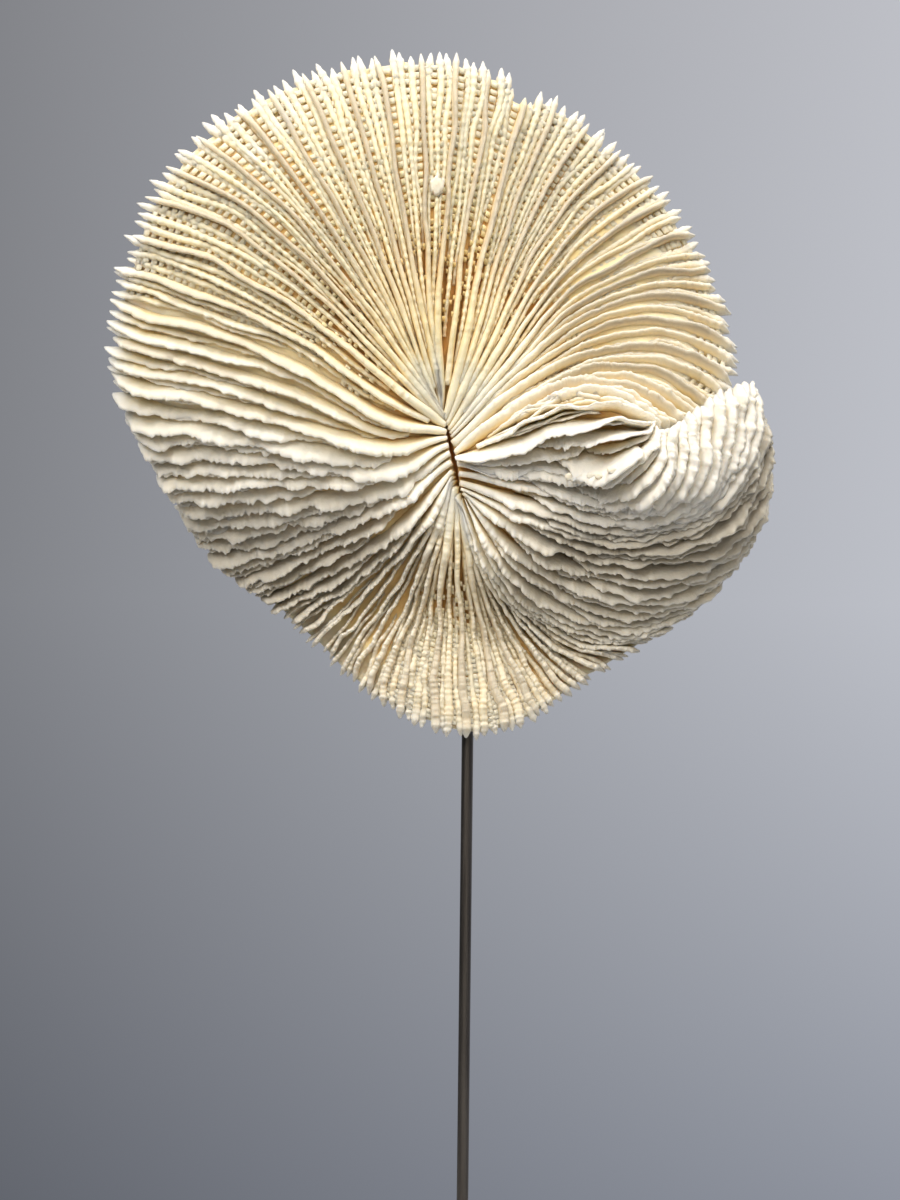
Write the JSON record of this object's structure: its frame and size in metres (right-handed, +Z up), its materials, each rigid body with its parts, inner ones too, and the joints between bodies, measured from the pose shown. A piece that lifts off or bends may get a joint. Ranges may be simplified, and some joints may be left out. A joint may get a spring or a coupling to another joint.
{
  "type": "mushroom coral",
  "caption": "Folded mushroom coral skeleton with thin radiating walls round a slit mouth, held upright on a slim steel rod that stands on a square plate.",
  "frame": {"origin": "centre of the underside of the base plate, straight below the rod", "axes": "+Z up along the rod, the coral's mouth faces -Y, +X to the right as seen from the front"},
  "size_m": [0.168, 0.11, 0.3829],
  "materials": {
    "coral": "chalky bleached coral, cream in the grooves and white on the crests",
    "rod": "dark drawn steel, satin",
    "base": "blackened steel, satin"
  },
  "bodies": {
    "root": {"coral": "coral", "rod": "rod", "base_plate": "base"}
  },
  "joints": []
}
